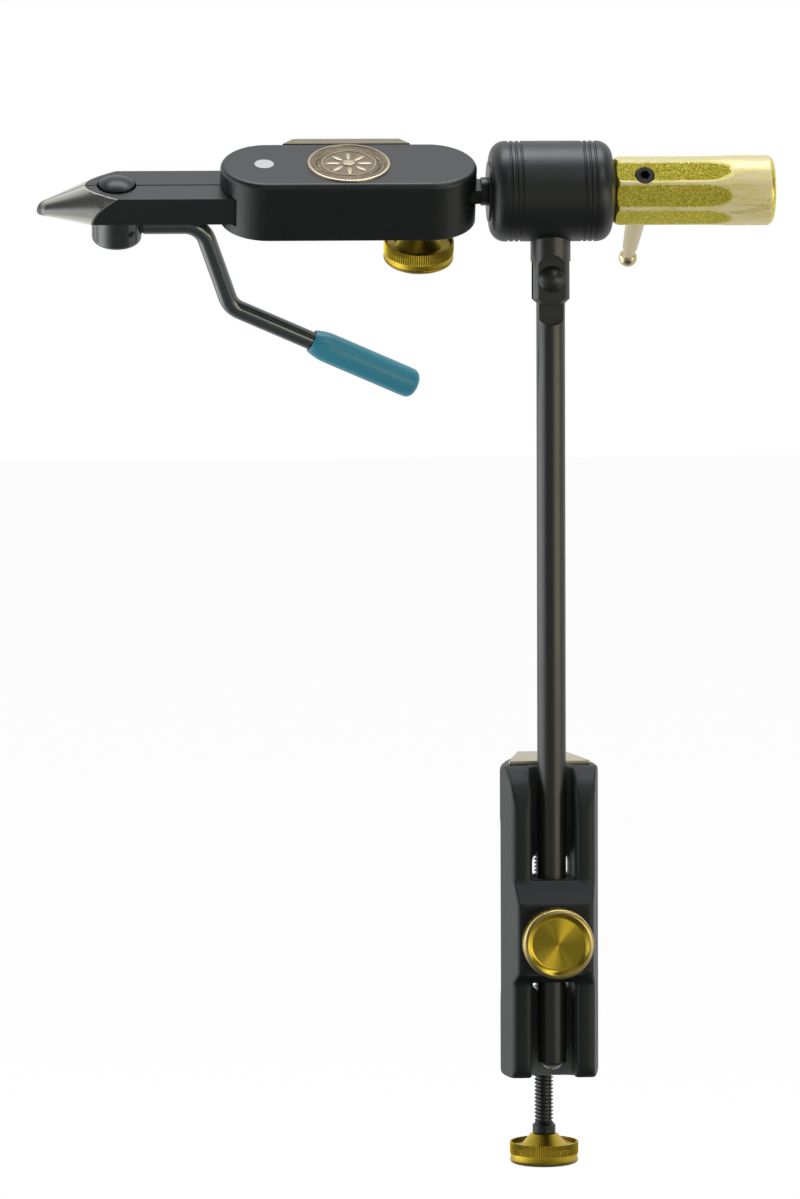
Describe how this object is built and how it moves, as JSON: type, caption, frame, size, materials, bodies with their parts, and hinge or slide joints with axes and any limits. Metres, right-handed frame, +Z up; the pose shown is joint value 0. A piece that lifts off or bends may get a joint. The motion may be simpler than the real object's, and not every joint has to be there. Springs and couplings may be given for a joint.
{
  "type": "fly tying vise",
  "caption": "Rotary fly tying vise: cam jaws in a rolled head block, a tilting barrel with a brass handle, a round stem and a table clamp with screw, pad and lock knobs.",
  "frame": {"origin": "on the table face, the underside of the clamp's upper arm, midway along the arm and across the clamp", "axes": "+X along the rotary axis towards the brass handle, +Y away from the stem over the table, +Z up along the stem"},
  "size_m": [0.2418, 0.0705, 0.3452],
  "materials": {
    "cast_black": "satin",
    "anodised_black": "satin",
    "black_steel": "satin",
    "bright_steel": "satin",
    "jaw_steel": "satin",
    "knob_brass": "satin",
    "handle_brass": "satin",
    "pale_brass": "satin",
    "bearing_bronze": "satin",
    "medal_bronze": "satin",
    "pale_nylon": "matte",
    "teal_vinyl": "satin"
  },
  "bodies": {
    "clamp": {"clamp_body": "cast_black", "clamp_top_plate": "pale_brass"},
    "pad": {"swivel_pad": "black_steel"},
    "clamp_screw_unit": {"clamp_screw": "black_steel", "clamp_knob": "knob_brass"},
    "lock_tip": {"stem_lock_tip": "pale_nylon"},
    "stem_lock": {"stem_lock_screw": "black_steel", "stem_lock_knob": "knob_brass"},
    "stem_slide": {"stem_end_cap": "bright_steel"},
    "stem": {"stem_rod": "black_steel"},
    "barrel_unit": {"barrel": "anodised_black", "fork": "black_steel", "pivot_screw": "black_steel", "pivot_nut": "black_steel", "front_bushing": "bearing_bronze", "rear_bushing": "bearing_bronze"},
    "rotor": {"spindle": "black_steel", "friction_washer": "pale_nylon", "rotary_handle": "handle_brass", "handle_set_screw": "black_steel", "spin_lever": "pale_brass"},
    "head": {"head_block": "anodised_black", "medallion": "medal_bronze", "jaw_pin": "bright_steel", "side_plate": "pale_brass", "side_plate_screws": "black_steel", "disc_springs": "bright_steel", "spring_guide": "bright_steel"},
    "head_washer": {"head_lock_washer": "black_steel"},
    "head_lock": {"head_lock_knob": "knob_brass", "head_lock_stud": "bright_steel"},
    "jaw_near": {"near_jaw": "jaw_steel"},
    "jaw_far": {"far_jaw": "jaw_steel"},
    "cam": {"cam_post": "black_steel", "cam_barrel": "anodised_black", "cam_pin": "bright_steel"},
    "lever": {"lever_rod": "black_steel", "lever_fulcrum": "bright_steel", "lever_grip": "teal_vinyl"}
  },
  "joints": [
    {"name": "pad_travel", "type": "slide", "parent": "clamp", "child": "pad", "axis": [0, 0, 1], "range_m": [-0.04599, 0.0085]},
    {"name": "clamp_screw_turn", "type": "hinge", "parent": "pad", "child": "clamp_screw_unit", "pos_m": [0, 0.005, -0.1], "axis": [0, 0, 1], "range_deg": [-13046, 2415]},
    {"name": "lock_tip_travel", "type": "slide", "parent": "clamp", "child": "lock_tip", "axis": [0, 1, 0], "range_m": [-0.00254, 0]},
    {"name": "stem_lock_turn", "type": "hinge", "parent": "lock_tip", "child": "stem_lock", "pos_m": [0, -0.045, -0.04], "axis": [0, 1, 0], "range_deg": [-722, 0]},
    {"name": "stem_height", "type": "slide", "parent": "clamp", "child": "stem_slide", "axis": [0, 0, 1], "range_m": [-0.08, 0.025]},
    {"name": "stem_swivel", "type": "hinge", "parent": "stem_slide", "child": "stem", "pos_m": [0, -0.025, 0.05], "axis": [0, 0, 1], "continuous": true},
    {"name": "barrel_tilt", "type": "hinge", "parent": "stem", "child": "barrel_unit", "pos_m": [0, -0.025, 0.1772], "axis": [0, 1, 0], "range_deg": [-45, 45]},
    {"name": "rotary_spin", "type": "hinge", "parent": "barrel_unit", "child": "rotor", "pos_m": [0, -0.025, 0.206], "axis": [1, 0, 0], "continuous": true},
    {"name": "head_swivel", "type": "hinge", "parent": "rotor", "child": "head", "pos_m": [-0.0428, -0.025, 0.206], "axis": [0, -0.4478, 0.8942], "range_deg": [-13, 13]},
    {"name": "head_washer_travel", "type": "slide", "parent": "head", "child": "head_washer", "axis": [0, -0.4478, 0.8942], "range_m": [-0.00254, 0]},
    {"name": "head_lock_turn", "type": "hinge", "parent": "head_washer", "child": "head_lock", "pos_m": [-0.0428, -0.01604, 0.18812], "axis": [0, -0.4478, 0.8942], "range_deg": [-722, 0]},
    {"name": "lever_squeeze", "type": "hinge", "parent": "head", "child": "lever", "pos_m": [-0.122, -0.02133, 0.19867], "axis": [0, -0.8942, -0.4478], "range_deg": [0, 14.02], "stiffness_Nm_per_rad": 0.8, "springref_deg": -5.73},
    {"name": "cam_travel", "type": "slide", "parent": "head", "child": "cam", "axis": [0, 0.4478, -0.8942], "range_m": [0, 0.004], "deforming": ["disc_springs"]},
    {"name": "near_jaw_swing", "type": "hinge", "parent": "head", "child": "jaw_near", "pos_m": [-0.0942, -0.025, 0.206], "axis": [0, -0.4478, 0.8942], "range_deg": [0, 1.92]},
    {"name": "far_jaw_swing", "type": "hinge", "parent": "head", "child": "jaw_far", "pos_m": [-0.0942, -0.025, 0.206], "axis": [0, 0.4478, -0.8942], "range_deg": [0, 1.92]}
  ],
  "couplings": [
    {"joint": "clamp_screw_turn", "follows": "pad_travel", "rad_per_m": 4947.4},
    {"joint": "stem_lock_turn", "follows": "lock_tip_travel", "rad_per_m": 4947.4},
    {"joint": "head_lock_turn", "follows": "head_washer_travel", "rad_per_m": 4947.4},
    {"joint": "lever_squeeze", "follows": "cam_travel", "rad_per_m": 61.137},
    {"joint": "near_jaw_swing", "follows": "cam_travel", "rad_per_m": 8.3176},
    {"joint": "far_jaw_swing", "follows": "cam_travel", "rad_per_m": 8.3176}
  ]
}
